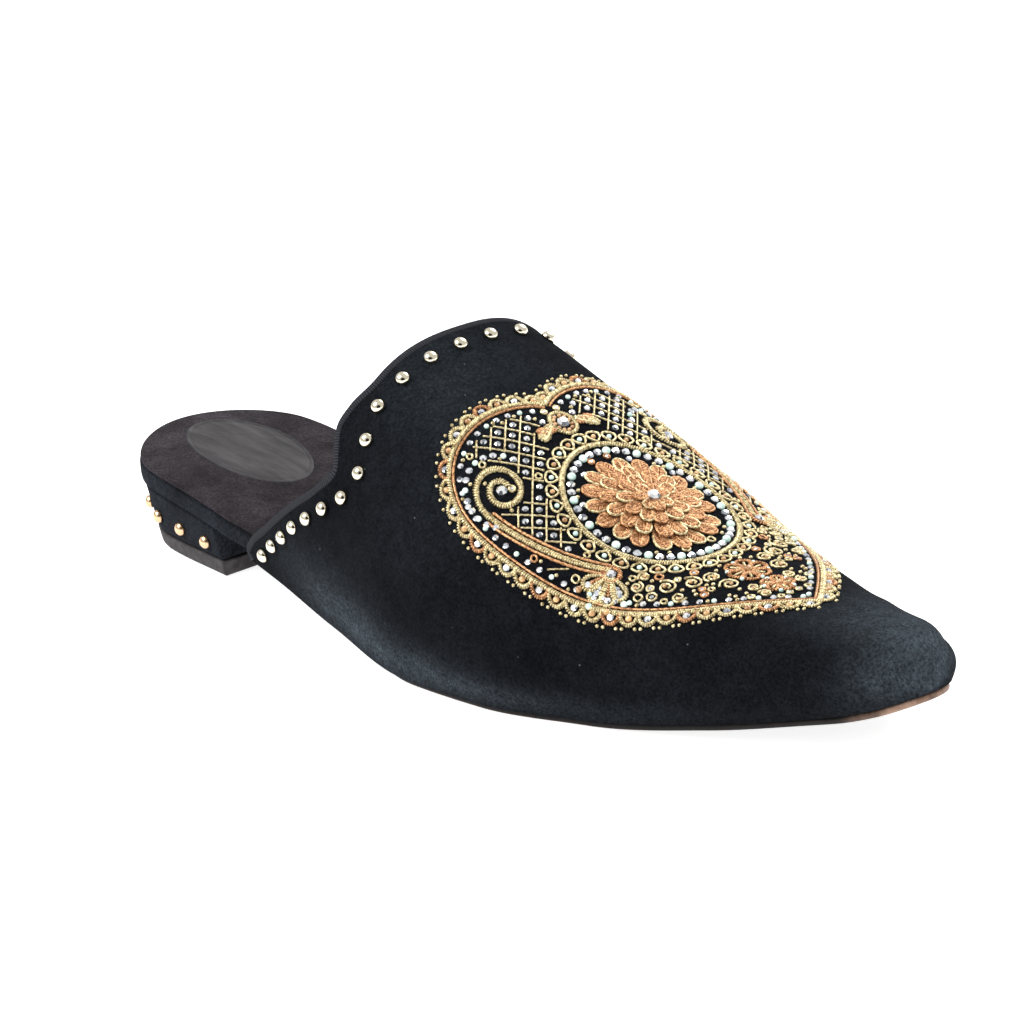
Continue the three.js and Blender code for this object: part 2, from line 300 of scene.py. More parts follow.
def noise(tree, scale, detail=3.0, roughness=0.55, stretch=(1, 1, 1)):
    place = add_node(tree, "Mapping", {"Vector": coordinates(tree, "Object"), "Scale": stretch})
    inputs = {"Vector": place["Vector"], "Scale": scale, "Detail": detail, "Roughness": roughness}
    return add_node(tree, "TexNoise", inputs)["Fac"]


def ramp(tree, fac, stops):
    node = tree.nodes.new("ShaderNodeValToRGB")
    while len(node.color_ramp.elements) < len(stops):
        node.color_ramp.elements.new(0.5)
    for element, (at, colour) in zip(node.color_ramp.elements, stops):
        element.position = at
        element.color = (*colour, 1)
    tree.links.new(fac, node.inputs["Fac"])
    return node.outputs["Color"]


def paint(tree, shader, fac, stops, name="Base Color"):
    """Runs one input of a shader through a ramp."""
    tree.links.new(ramp(tree, fac, stops), shader.inputs[name])


def bump(tree, shader, height, strength, distance):
    """Adds relief to what the shader has already."""
    inputs = {"Height": height, "Strength": strength, "Distance": distance}
    earlier = shader.inputs["Normal"]
    if earlier.is_linked:
        inputs["Normal"] = earlier.links[0].from_socket
    tree.links.new(add_node(tree, "Bump", inputs)["Normal"], earlier)


def mixed(tree, fac, a, b, blend="MIX"):
    return add_node(tree, "Mix", {0: fac, 6: a, 7: b}, data_type="RGBA", blend_type=blend)[2]


def maths(tree, how, a, b):
    return add_node(tree, "Math", {0: a, 1: b}, operation=how)[0]


def attribute(tree, name):
    return add_node(tree, "Attribute", attribute_name=name)["Fac"]


def grey(x):
    return (x, x, x)


def lint(tree):
    """A few tiny pale specks of dust."""
    cells = add_node(tree, "TexVoronoi", {"Vector": coordinates(tree, "Object"), "Scale": 170})
    return ramp(tree, cells["Distance"], [(0.022, grey(0.8)), (0.04, grey(0))])


# Materials.
def suede(name, dark, light, sheen, tint, cloudy, patch=None):
    """Brushed pile: fine grain, mottling, cloudy brushing marks and a faint sheen; a patch attribute adds
    lighter patches, brushing and painted sheen, and dust.
    """
    m, tree, shader = material(name, dark, 1.0, specular=0.04)
    cloud = noise(tree, 60, 4, 0.6)
    brushed_and_sheen = maths(tree, "MULTIPLY", ramp(tree, cloud, [(0.36, grey(0)), (0.72, grey(1))]), cloudy)
    if patch:
        # Painted sheen with brushing: the patch attribute lightens the suede, broken into streaks.
        streak = noise(tree, 230, 4, 0.7, stretch=(0.45, 1, 1))
        streak = ramp(tree, streak, [(0.3, grey(0.7)), (0.7, grey(1.15))])
        brushed_and_sheen = maths(tree, "ADD", brushed_and_sheen, maths(tree, "MULTIPLY", attribute(tree, patch), streak))
    grain = noise(tree, 1500, 3, 0.8)
    mottle = noise(tree, 380, 4, 0.65)
    colour = mixed(tree, brushed_and_sheen, dark, light)
    for fac, stops in (
        (grain, [(0.36, grey(0.45)), (0.66, grey(1.65))]),
        (mottle, [(0.35, grey(0.82)), (0.65, grey(1.18))]),
    ):
        colour = mixed(tree, 1.0, colour, ramp(tree, fac, stops), "MULTIPLY")
    if patch:
        colour = mixed(tree, lint(tree), colour, (0.11, 0.115, 0.12))
    tree.links.new(colour, shader.inputs["Base Color"])
    value(shader, "Sheen Weight", sheen)
    value(shader, "Sheen Roughness", 0.5)
    value(shader, "Sheen Tint", (*tint, 1))
    bump(tree, shader, grain, 0.7, 0.0005)
    bump(tree, shader, mottle, 0.3, 0.0008)
    return m


COOL = (0.5, 0.6, 0.75)
WARM = (0.75, 0.68, 0.72)
# The upper's suede: its lighter patches are brushing and painted sheen from a per-point attribute.
upper_suede = suede("upper_suede", (0.0034, 0.0035, 0.0046), (0.04, 0.05, 0.06), 0.012, COOL, 0.07, "nap_and_sheen")
wrap_suede = suede("wrap_suede", (0.0055, 0.006, 0.0077), (0.026, 0.03, 0.037), 0.03, COOL, 0.45)
lining = suede("lining", (0.009, 0.0075, 0.0085), (0.022, 0.019, 0.021), 0.04, WARM, 0.7)
sock_suede = suede("sock_suede", (0.0128, 0.0106, 0.0125), (0.038, 0.0333, 0.038), 0.045, WARM, 0.9)


def ribbed_binding():
    m, tree, shader = material("binding", (0.0075, 0.0078, 0.0098), 0.9, specular=0.08)
    inputs = {"Vector": coordinates(tree, "UV"), "Scale": 1, "Distortion": 0.6}
    ribs = add_node(tree, "TexWave", inputs)["Fac"]
    paint(tree, shader, ribs, [(0.2, (0.014, 0.0145, 0.0175)), (0.8, (0.034, 0.035, 0.041))])
    bump(tree, shader, ribs, 0.6, 0.0003)
    bump(tree, shader, noise(tree, 2200, 2, 0.7), 0.4, 0.0002)
    return m


def pad_leather():
    """Smooth dark leather, polished by wear in faint streaks."""
    m, tree, shader = material("pad_leather", (0.02, 0.019, 0.02), 0.4, specular=0.3)
    streak = noise(tree, 210, 4, 0.65, stretch=(0.25, 1.5, 1))
    paint(tree, shader, streak, [(0.34, (0.0175, 0.016, 0.0172)), (0.7, (0.046, 0.043, 0.045))])
    paint(tree, shader, streak, [(0.3, grey(0.72)), (0.7, grey(0.55))], "Roughness")
    bump(tree, shader, noise(tree, 900, 4, 0.6), 0.2, 0.0002)
    return m


def sole_leather():
    """Dark stained edge that is worn to tan where the toe meets the ground."""
    m, tree, shader = material("sole_leather", (0.03, 0.02, 0.015), 0.6, specular=0.2)
    scuff = noise(tree, 260, 5, 0.7)
    edge = ramp(tree, scuff, [(0.3, (0.004, 0.0034, 0.0034)), (0.75, (0.017, 0.0125, 0.011))])
    tan = ramp(tree, scuff, [(0.3, (0.1, 0.055, 0.037)), (0.7, (0.34, 0.22, 0.16))])
    spots = ramp(tree, noise(tree, 180, 4), [(0.3, grey(0.3)), (0.6, grey(1.3))])
    fac = maths(tree, "MULTIPLY", attribute(tree, "wear"), spots)
    tree.links.new(mixed(tree, fac, edge, tan), shader.inputs["Base Color"])
    bump(tree, shader, scuff, 0.3, 0.0003)
    return m


def heel_rubber():
    m, tree, shader = material("heel_rubber", (0.04, 0.035, 0.035), 0.75, specular=0.2)
    scuff = noise(tree, 420, 4, 0.65)
    paint(tree, shader, scuff, [(0.3, (0.026, 0.0235, 0.025)), (0.75, (0.066, 0.06, 0.062))])
    bump(tree, shader, scuff, 0.3, 0.0003)
    return m


def polished(name, colour, roughness, wear):
    m, tree, shader = material(name, colour, roughness, 1.0)
    stops = [(0.3, grey(roughness - wear)), (0.7, grey(roughness + wear))]
    paint(tree, shader, noise(tree, 1500, 3, 0.6), stops, "Roughness")
    return m


def metal_thread(name, dark, light):
    """Metal-wrapped thread: strand texture whose dark tone is painted shade between strands and whose
    bright, glossier tone is painted highlight.
    """
    m, tree, shader = material(name, light, 0.34, 0.85)
    strand = noise(tree, 1500, 3, 0.7)
    paint(tree, shader, strand, [(0.36, dark), (0.56, light)])
    paint(tree, shader, strand, [(0.35, grey(0.5)), (0.65, grey(0.26))], "Roughness")
    bump(tree, shader, strand, 0.55, 0.0003)
    return m


def cut_glass():
    """Foiled glass: each facet gets a random tone from dark grey to white, a painted reflection of dark
    and bright surroundings.
    """
    m, tree, shader = material("crystal", (0.93, 0.95, 0.97), 0.06, 0.8)
    surface = add_node(tree, "NewGeometry")
    steps = add_node(tree, "VectorMath", {0: surface["Normal"], 1: grey(0.2)}, operation="SNAP")
    inputs = {"Vector": steps[0], "W": surface["Random Per Island"]}
    sparkle = add_node(tree, "TexWhiteNoise", inputs, noise_dimensions="4D")
    # Facet tones: painted reflection.
    stops = [(0.0, (0.16, 0.18, 0.22)), (0.3, (0.66, 0.7, 0.76)), (0.62, (1, 1, 1))]
    paint(tree, shader, sparkle["Value"], stops)
    value(shader, "Coat Weight", 1.0)
    value(shader, "Coat Roughness", 0.02)
    return m


def glass_bead(name, low, high):
    m, tree, shader = material(name, high, 0.15)
    paint(tree, shader, noise(tree, 600, 2), [(0.35, low), (0.65, high)])
    value(shader, "Coat Weight", 0.8)
    value(shader, "Coat Roughness", 0.05)
    return m


binding_cloth = ribbed_binding()
pad_hide = pad_leather()
sole_hide = sole_leather()
rubber = heel_rubber()
stud_metal = polished("stud_metal", (0.86, 0.78, 0.6), 0.12, 0.05)
heel_stud_metal = polished("heel_stud_metal", (0.78, 0.53, 0.32), 0.26, 0.08)
# Thread tones: the dark one is painted shade between strands, the light one painted highlight.
gold_thread = metal_thread("gold_thread", (0.24, 0.165, 0.065), (0.88, 0.75, 0.44))
copper_thread = metal_thread("copper_thread", (0.17, 0.06, 0.022), (0.7, 0.38, 0.185))
crystal = cut_glass()
mint_glass = glass_bead("mint_glass", (0.42, 0.62, 0.55), (0.78, 0.92, 0.85))
bronze_glass = glass_bead("bronze_glass", (0.26, 0.12, 0.04), (0.72, 0.44, 0.2))


# Upper: outer skin with relief, inner lining, lower rims and the edge under the binding.
# Soft folds: place along the shoe, turn, length along the fold, width, depth and lean of the fold.
FOLDS = [
    (150, 0.17, 16, 5, -0.45, 0.5),
    (160, 0.21, 18, 6, 0.40, 0.4),
    (171, 0.19, 15, 5, -0.40, 0.3),
    (128, 0.15, 20, 8, -0.45, 1),
    (112, 0.10, 14, 6, 0.35, 1.2),
    (155, 0.83, 16, 5.5, -0.45, 0.5),
    (167, 0.80, 17, 6, 0.35, 0.4),
    (126, 0.86, 20, 8, -0.45, 1),
    (215, 0.2, 14, 7, -0.25, 0.2),
]
# A whole turn in millimetres, near enough, for a fold's lean and for its length.
LEAN_GIRTH = 120
FOLD_GIRTH = 150
# Lighter patches of the upper, brushing and painted sheen: place, turn, reach along and over, and
# strength.
SHEEN_AND_BRUSHING_PATCHES = [
    (122, 0.055, 22, 0.055, 0.5),
    (140, 0.045, 24, 0.045, 0.4),
    (168, 0.045, 24, 0.04, 0.4),
    (205, 0.06, 28, 0.045, 0.15),
    (252, 0.55, 16, 0.13, 0.6),
    (266, 0.27, 10, 0.24, 0.8),
    (267, 0.66, 9, 0.2, 0.9),
    (150, 0.3, 22, 0.10, 0.05),
    (136, 0.45, 16, 0.09, 0.2),
    (120, 0.92, 30, 0.07, 0.7),
    (170, 0.94, 30, 0.05, 0.5),
]
# The toe puff shows as a ridge over its edge and a dip behind it: distance behind, height and width.
PUFF_EDGE = 241.0
PUFF_SWEEP = 9
PUFF_WAVES = [(0, 0.3, 4), (9, -0.2, 7)]
# The relief fades out near the lower edges, by share of the rise, at the collar and at the toe.
FADE_RISE = 0.12
FADE_COLLAR = 8
FADE_TOE = (LENGTH - 3, LENGTH - 18)


def relief(s, turn):
    height = np.zeros(np.broadcast(s, turn).shape)
    for place, middle, length, width, depth, lean in FOLDS:
        over = (s - place) + (turn - middle) * LEAN_GIRTH * lean
        along = (turn - middle) * FOLD_GIRTH
        height = height + depth * np.exp(-((over / width) ** 2) - (along / length) ** 2)
    crown = np.clip(np.sin(math.pi * turn), 0, 1) ** 2
    edge = PUFF_EDGE - PUFF_SWEEP * (1 - crown)
    for behind, swell, width in PUFF_WAVES:
        height = height + crown * swell * np.exp(-(((s - edge + behind) / width) ** 2))
    fade = np.clip(rise_at(turn) / FADE_RISE, 0, 1) * np.clip((s - collar_s(turn)) / FADE_COLLAR, 0, 1)
    return height * fade * smoothstep(*FADE_TOE, s)


# Painted sheen with brushing: how much lighter the upper is at each point.
def sheen_and_brushing_at(s, turn):
    total = np.zeros(np.broadcast(s, turn).shape)
    for place, middle, along, over, strength in SHEEN_AND_BRUSHING_PATCHES:
        total = total + strength * np.exp(-(((s - place) / along) ** 2) - ((turn - middle) / over) ** 2)
    return total


def add_attribute(piece, name, numbers):
    layer = piece.data.attributes.new(name, "FLOAT", "POINT")
    layer.data.foreach_set("value", np.asarray(numbers, np.float32).ravel())


def build_upper():
    shares = 1 - (1 - np.linspace(0, 1, 141)) ** 1.6
    turns = np.linspace(0, 1, 121)
    start = collar_s(turns)[None, :]
    layers = []
    for depth in (0, 1):
        tip = LENGTH - depth * WALL
        s = start + (tip - start) * shares[:, None]
        turn = np.broadcast_to(turns, s.shape)
        p = upper_point(s, turn, depth)
        if depth == 0:
            normal = upper_normal(np.minimum(s, tip - 1), np.clip(turn, 0.003, 0.997))
            p = p + normal * relief(s, turn)[..., None]
            nap_and_sheen = sheen_and_brushing_at(s, turn)
        layers.append(p)
    rows, cols = layers[0].shape[:2]
    outer = np.arange(rows * cols).reshape(rows, cols)
    outer[-1] = outer[-1, 0]
    count = outer[-1, 0] + 1
    inner = outer + count
    points = np.concatenate([layer.reshape(-1, 3)[:count] for layer in layers])
    skin = grid_faces(outer)
    inside = grid_faces(inner, True)
    rims = grid_faces(np.stack([inner[0], outer[0]])) + grid_faces(np.stack([outer[:, 0], inner[:, 0]]))
    rims += grid_faces(np.stack([inner[:, -1], outer[:, -1]]))
    faces = skin + inside + rims
    which = [0] * len(skin) + [1] * len(inside) + [0] * len(rims)
    piece = mesh("upper_skin", points, faces, [upper_suede, lining], "upper", face_material=which)
    # Per-point strength of the painted sheen and brushing, for the suede's lighter patches.
    add_attribute(piece, "nap_and_sheen", np.concatenate([nap_and_sheen.ravel()[:count]] * 2))


def collar_frames(turns):
    """Edge points with the directions along the edge, into the upper and out of its face."""
    edge = upper_point(collar_s(turns), turns)
    along = unit(np.gradient(edge, axis=0))
    face = upper_normal(collar_s(turns) + 0.5, np.clip(turns, 0.004, 0.996))
    face = unit(face - along * np.sum(face * along, -1, keepdims=True))
    into = unit(np.cross(face, along))
    into = into * np.sign(into[:, :1])
    return edge, along, into, face


# Cross-section of the binding: distance into the upper and height over its face.
BINDING = [
    (1.6, -0.1), (1.5, 0.12), (1.25, 0.26), (0.7, 0.32), (0.15, 0.28), (-0.25, 0.02), (-0.42, -0.6),
    (-0.45, -1.1), (-0.42, -1.7), (-0.25, -2.2), (0.2, -2.45), (0.9, -2.5), (1.6, -2.45), (2, -2.35),
    (2.1, -2.1), (1.2, -1.1),
]


def build_binding():
    turns = np.linspace(0, 1, 301)
    edge, along, into, face = collar_frames(turns)
    reach_in, height = np.array(BINDING).T
    thinned = (wall_at(edge[:, 0]) / WALL)[:, None]
    height = np.where(height < 0, height * thinned, height)
    points = edge[:, None] + into[:, None] * reach_in[None, :, None] + face[:, None] * height[..., None]
    points[..., 2] = np.maximum(points[..., 2], seat_at(points[..., 0]) + GAP)
    rows, cols = points.shape[:2]
    index = np.arange(rows * cols).reshape(rows, cols)
    faces = grid_faces(closed(index))
    faces += [list(index[0]), list(index[-1][::-1])]
    uv = np.broadcast_arrays(reach_of(edge)[:, None] * 0.5, np.linspace(0, 0.2, cols))
    uv = np.stack(uv, -1).reshape(-1, 2)
    mesh("collar_binding", points.reshape(-1, 3), faces, [binding_cloth], uv=uv)


def collar_spacing(share):
    return 1 - STUD_CROWDING * np.cos(2 * math.pi * (share - CROWDED_SHARE))


def spaced(points, count, spacing=np.ones_like):
    """Fractions of a run of points that split it into steps, whose relative lengths spacing gives."""
    middles = (np.arange(len(points) - 1) + 0.5) / (len(points) - 1)
    reach = np.concatenate([[0], np.cumsum(np.diff(reach_of(points)) / spacing(middles))])
    wanted = np.linspace(0, reach[-1], count)
    return np.interp(wanted, reach, np.linspace(0, 1, len(points)))


def frame_of(normal):
    helper = np.array([0, 0, 1.0]) if abs(normal[2]) < 0.9 else np.array([1.0, 0, 0])
    side = unit(np.cross(normal, helper))
    return side, np.cross(normal, side), normal


class Heap:
    """Gathers many small shapes into one piece."""

    def __init__(self, name, look):
        self.name, self.look = name, look
        self.points, self.faces, self.count = [], [], 0

    def add(self, points, faces):
        self.points.append(np.asarray(points))
        self.faces += [[v + self.count for v in f] for f in faces]
        self.count += len(points)

    def make(self, node=None, smooth=True):
        points = np.concatenate(self.points)
        mesh(self.name, points, self.faces, [self.look], node, smooth=smooth)


def turned_shape(profile, sides):
    """A shape turned about its axis from (radius, height) pairs that start and end on the axis."""
    radius, height = np.array(profile, float).T[..., None]
    angles = round_angles(sides)
    rings = np.broadcast_arrays(radius * np.cos(angles), radius * np.sin(angles), height)
    rings = np.stack(rings, -1)
    points = np.concatenate([rings[0, :1], rings[1:-1].reshape(-1, 3), rings[-1, :1]])
    index = np.full((len(radius), sides), len(points) - 1)
    index[:-1] = np.arange(1 - sides, len(points) - 1).reshape(-1, sides)
    index[0] = 0
    return points, grid_faces(closed(index), True)


def placed(shape, at, normal, size=1.0, spin=0.0):
    x, y, z = frame_of(normal)
    ca, sa = math.cos(spin), math.sin(spin)
    x, y = x * ca + y * sa, y * ca - x * sa
    p = shape[0] * size
    return at + p[:, :1] * x + p[:, 1:2] * y + p[:, 2:3] * z, shape[1]


DOME_FOOT = -0.3


def dome_profile(radius, height, rim, steps):
    angles = np.linspace(0, math.pi / 2, steps)
    dome = [(radius * math.cos(a), rim + (height - rim) * math.sin(a)) for a in angles[:-1]]
    return [(0, DOME_FOOT), (radius, DOME_FOOT), *dome, (0, height)]


STUD = turned_shape(dome_profile(STUD_RADIUS, STUD_HEIGHT + 0.25, 0.15, 9), 28)


def stud_row(piece, node, feet, normals, look):
    heap = Heap(piece, look)
    for foot, normal in zip(feet, normals):
        heap.add(*placed(STUD, foot + normal * GAP, normal))
    heap.make([f"{node}_{i + 1:02d}" for i in range(len(feet))])


def build_studs():
    dense = np.linspace(FIRST_STUD_TURN, 1 - FIRST_STUD_TURN, 241)
    shares = spaced(upper_point(stud_s(dense), dense), COLLAR_STUDS, collar_spacing)
    turns = FIRST_STUD_TURN + (1 - 2 * FIRST_STUD_TURN) * shares
    feet = upper_point(stud_s(turns), turns)
    stud_row("collar_studs", "collar_stud", feet, upper_normal(stud_s(turns), turns), stud_metal)


# Sole layers: a pair of edge lines, outer and inner side, drawn in and raised ring by ring.
# Ends of a layer, heel and toe: 1 where its two edge lines meet in a point.
BOTH_ENDS, HEEL_END, TOE_END = (1, 1), (1, 0), (0, 1)


def eased(start, end, count, ends):
    """Stations that crowd towards the ends that come to a point."""
    t = np.linspace(0, 1, count + 1)
    if ends == BOTH_ENDS:
        t = (1 - np.cos(math.pi * t)) / 2
    elif ends == HEEL_END:
        t = 1 - np.cos(math.pi / 2 * t)
    else:
        t = np.sin(math.pi / 2 * t)
    return start + (end - start) * t


def inset_pair(lateral, medial, inset, ends):
    """Both edge lines moved inwards in plan by a distance."""
    n = len(lateral)
    apart = slice(ends[0], n - ends[1])
    loop = np.concatenate([lateral, medial[apart][::-1]])[:, :2]
    before = unit(loop - np.roll(loop, 1, 0))
    inwards = [np.stack([-v[:, 1], v[:, 0]], -1) for v in (before, np.roll(before, -1, 0))]
    middle = unit(inwards[0] + inwards[1])
    reach = np.clip(np.sum(middle * inwards[1], -1, keepdims=True), 0.5, 1)
    moved = loop + middle / reach * inset
    new_medial = moved[:n].copy()
    new_medial[apart] = moved[n:][::-1]
    return moved[:n], new_medial


def build_layer(rings, ends, columns=14, pillow=0.0):
    """A closed solid from pairs of edge lines, lowest ring first, with its two broad faces filled."""
    n = len(rings[0][0])
    apart = np.arange(ends[0], n - ends[1])
    points, numbers, count = [], [], 0
    for lateral, medial in rings:
        left = count + np.arange(n)
        right = left.copy()
        right[apart] = count + n + np.arange(len(apart))
        points += [lateral, medial[apart]]
        numbers.append((left, right))
        count += n + len(apart)
    loops = [np.concatenate([left, right[::-1], left[:1]]) for left, right in numbers]
    faces = grid_faces(np.array(loops), True)
    share = np.arange(1, columns) / columns
    for which, raised in ((0, 0.0), (-1, pillow)):
        a, b = (line[apart, None] for line in rings[which])
        filling = a + (b - a) * share[:, None]
        filling[..., 2] += raised * np.sin(math.pi * share)
        points.append(filling.reshape(-1, 3))
        left, right = numbers[which]
        index = np.repeat(left[:, None], columns + 1, 1)
        index[:, -1] = right
        index[apart, 1:-1] = count + np.arange(filling.size // 3).reshape(filling.shape[:2])
        count += filling.size // 3
        faces += grid_faces(index, which == 0)
    return np.concatenate(points), faces


def edge_lines(s, halves, z):
    lateral, medial = halves
    left = np.stack([s, -lateral + swing_at(s), z], -1)
    right = np.stack([s, medial + swing_at(s), z], -1)
    return left, right


def rounded_rings(s, halves, low, high, rows, ends):
    """Rings from (inset, share of the height) rows."""
    left, right = edge_lines(s, halves, low)
    rings = []
    for inset, share in rows:
        a, b = inset_pair(left, right, inset, ends)
        z = low + (high - low) * share
        rings.append((np.column_stack([a, z]), np.column_stack([b, z])))
    return rings


# Edges of the layers from below: distance drawn in and share of the height.
FOOTBED_EDGE = [
    (1.2, 0), (0.5, 0.02), (0.12, 0.1), (0, 0.3), (0, 0.6), (0.06, 0.88), (0.25, 0.98), (0.7, 1.03),
    (1.6, 1.05),
]
SOCK_EDGE = [
    (1.3, 0), (0.6, 0.1), (0.38, 0.35), (0.36, 0.6), (0.45, 0.8), (0.7, 0.95), (1.1, 1.03), (1.8, 1.05),
]
OUTSOLE_EDGE = [
    (1.6, 0), (0.5, 0.01), (0.15, 0.12), (0, 0.35), (0, 0.65), (0.12, 0.9), (0.5, 0.99), (1.2, 1),
]
HEEL_EDGE = [(0.9, 0), (0.25, 0.02), (0.05, 0.1), (0, 0.3), (0, 0.6), (0, 0.9), (0.2, 0.98), (0.9, 1)]
TOP_PIECE_EDGE = [(0.8, 0), (0.25, 0.03), (0, 0.15), (0, 0.5), (0, 0.9), (0.15, 0.98), (0.6, 1)]
SOCK_PILLOW = 0.25


def footbed_halves(s):
    lateral, medial = outline(s, (wall_at(s) + 2 * GAP) * smoothstep(*FOOTBED_GOES_INSIDE, s))
    toe = quarter_ellipse((s - (FOOTBED_TIP - TOE_ROUND)) / TOE_ROUND)
    return lateral * toe, medial * toe


def footbed_top(s):
    share = smoothstep(*FOOTBED_THINS, s)
    return seat_at(s) + GAP + FOOTBED_AT_HEEL + (FOOTBED_AT_BALL - FOOTBED_AT_HEEL) * share


def build_footbed():
    s = eased(0, FOOTBED_TIP, 150, BOTH_ENDS)
    low, high = seat_at(s) + GAP, footbed_top(s)
    rings = rounded_rings(s, footbed_halves(s), low, high, FOOTBED_EDGE, BOTH_ENDS)
    points, faces = build_layer(rings, BOTH_ENDS)
    mesh("footbed_wrap", points, faces, [wrap_suede], "footbed")


def build_sock():
    s = eased(0, FOOTBED_TIP, 150, BOTH_ENDS)
    low = footbed_top(s) + GAP
    rings = rounded_rings(s, footbed_halves(s), low, low + INSOLE_THICKNESS, SOCK_EDGE, BOTH_ENDS)
    points, faces = build_layer(rings, BOTH_ENDS, 20, SOCK_PILLOW)
    mesh("sock_lining", points, faces, [sock_suede], "insole")


PAD = dict(s=34.2, y=-2.2, along=25.7, across=12.2, lean=math.radians(-7.8))
# The pad from its edge to its middle: share of the radius and height over the sock.
PAD_ROWS = [
    (1, -0.6), (1, 0.12), (0.992, 0.26), (0.975, 0.32), (0.957, 0.26), (0.945, 0.1), (0.93, 0.08),
    (0.912, 0.2), (0.89, 0.26), (0.7, 0.27), (0.45, 0.27), (0.2, 0.27),
]
PAD_CROWN = 0.26
PAD_CROWN_RADIUS = 30
PAD_SIDES = 96


def build_pad():
    """Oval heel pad with a pressed border."""
    a = round_angles(PAD_SIDES)
    ca, sa = math.cos(PAD["lean"]), math.sin(PAD["lean"])

    def at(share, lift):
        x, y = PAD["along"] * share * np.cos(a), PAD["across"] * share * np.sin(a)
        s = PAD["s"] + x * ca - y * sa
        z = footbed_top(s) + GAP + INSOLE_THICKNESS + lift + PAD_CROWN * np.cos(y / PAD_CROWN_RADIUS)
        return np.stack([s, PAD["y"] + x * sa + y * ca, z], -1)

    points = np.concatenate([at(r, h) for r, h in PAD_ROWS])
    index = np.arange(len(points)).reshape(-1, PAD_SIDES)
    faces = grid_faces(closed(index), True)
    faces += [list(index[-1]), list(index[0][::-1])]
    mesh("heel_pad", points, faces, [pad_hide])


TOE_WEAR = (252, 263)
BALL_WEAR_STARTS, BALL_WEAR_ENDS = (140, 160), (215, 195)
BALL_WEAR = 0.55


def build_outsole():
    s = eased(HEEL_BREAST + GAP, LENGTH - TOE_EDGE_INSET, 130, TOE_END)
    edge = OUTSOLE_INSET + (TOE_EDGE_INSET - OUTSOLE_INSET) * smoothstep(*TOE_EDGE_COMES_OUT, s)
    halves = outline(s, edge + WAIST_TUCK * smoothstep(*WAIST_TUCKS_IN, s))
    rings = rounded_rings(s, halves, tread_at(s), seat_at(s), OUTSOLE_EDGE, TOE_END)
    points, faces = build_layer(rings, TOE_END)
    piece = mesh("leather_outsole", points, faces, [sole_hide], "outsole")
    x = points[:, 0]
    height = (points[:, 2] - tread_at(x)) / OUTSOLE_THICKNESS
    ball = smoothstep(*BALL_WEAR_STARTS, x) * smoothstep(*BALL_WEAR_ENDS, x) * smoothstep(0.2, 0.0, height)
    add_attribute(piece, "wear", np.maximum(smoothstep(*TOE_WEAR, x), BALL_WEAR * ball))


def heel_lines(s, z, lean):
    lateral, medial = outline(s, HEEL_INSET)
    taper = 1 + (HEEL_SIDE_TAPER - 1) * lean
    forward = HEEL_BACK_RAKE + s * (HEEL_BREAST - HEEL_BACK_RAKE) / HEEL_BREAST
    along = np.maximum(s, HEEL_INSET) * (1 - lean) + forward * lean
    return edge_lines(along, (lateral * taper, medial * taper), z + 0 * s)


def heel_rings(s, low, high, lean_low, lean_high, rows):
    rings = []
    for inset, share in rows:
        lean = lean_low + (lean_high - lean_low) * share
        left, right = heel_lines(s, low + (high - low) * share, lean)
        a, b = inset_pair(left, right, inset, HEEL_END)
        rings.append((np.column_stack([a, left[:, 2]]), np.column_stack([b, right[:, 2]])))
    return rings


def build_heel():
    s = eased(0, HEEL_BREAST, 70, HEEL_END)
    block = heel_rings(s, TOP_PIECE_THICKNESS + GAP, seat_at(s), TOP_PIECE_LEAN, 0.0, HEEL_EDGE)
    points, faces = build_layer(block, HEEL_END)
    mesh("heel_cover", points, faces, [wrap_suede], "heel")
    lift = heel_rings(s, 0.0, TOP_PIECE_THICKNESS, 1.0, TOP_PIECE_LEAN, TOP_PIECE_EDGE)
    points, faces = build_layer(lift, HEEL_END)
    mesh("rubber_top_piece", points, faces, [rubber], "top_piece")


def heel_side(t):
    s = LAST_HEEL_STUD * t * t
    low = heel_lines(s, TOP_PIECE_THICKNESS + GAP, TOP_PIECE_LEAN)
    high = heel_lines(s, seat_at(s), 0.0)
    outer = (t < 0)[:, None]
    low, high = (np.where(outer, pair[0], pair[1]) for pair in (low, high))
    return low * (1 - HEEL_STUD_LEAN) + high * HEEL_STUD_LEAN


def build_heel_studs():
    dense = np.linspace(-1, 1, 241)
    t = 2 * spaced(heel_side(dense), HEEL_STUDS) - 1
    tangent = heel_side(t + 0.002) - heel_side(t - 0.002)
    normals = unit(np.stack([-tangent[:, 1], tangent[:, 0], 0 * t], -1))
    stud_row("heel_studs", "heel_stud", heel_side(t), normals, heel_stud_metal)


build_upper()
build_binding()
build_studs()
build_footbed()
build_sock()
build_pad()
build_outsole()
build_heel()
build_heel_studs()

# Goldwork on the front, drawn flat in millimetres and laid on the upper: s along the shoe, v across it.
MAP_S = np.arange(136.0, 262.0)
MAP_STEP = 0.5
MAP_V = np.arange(-64.0, 64.5, MAP_STEP)


def vamp_turns():
    """For each section, the turn that lies a given distance from the crown."""
    turns = np.linspace(0.01, 0.99, 401)
    rows = []
    for s in MAP_S:
        reach = reach_of(upper_point(s, turns))
        rows.append(np.interp(MAP_V, reach - np.interp(0.5, turns, reach), turns))
    return np.array(rows)


VAMP_TURNS = vamp_turns()


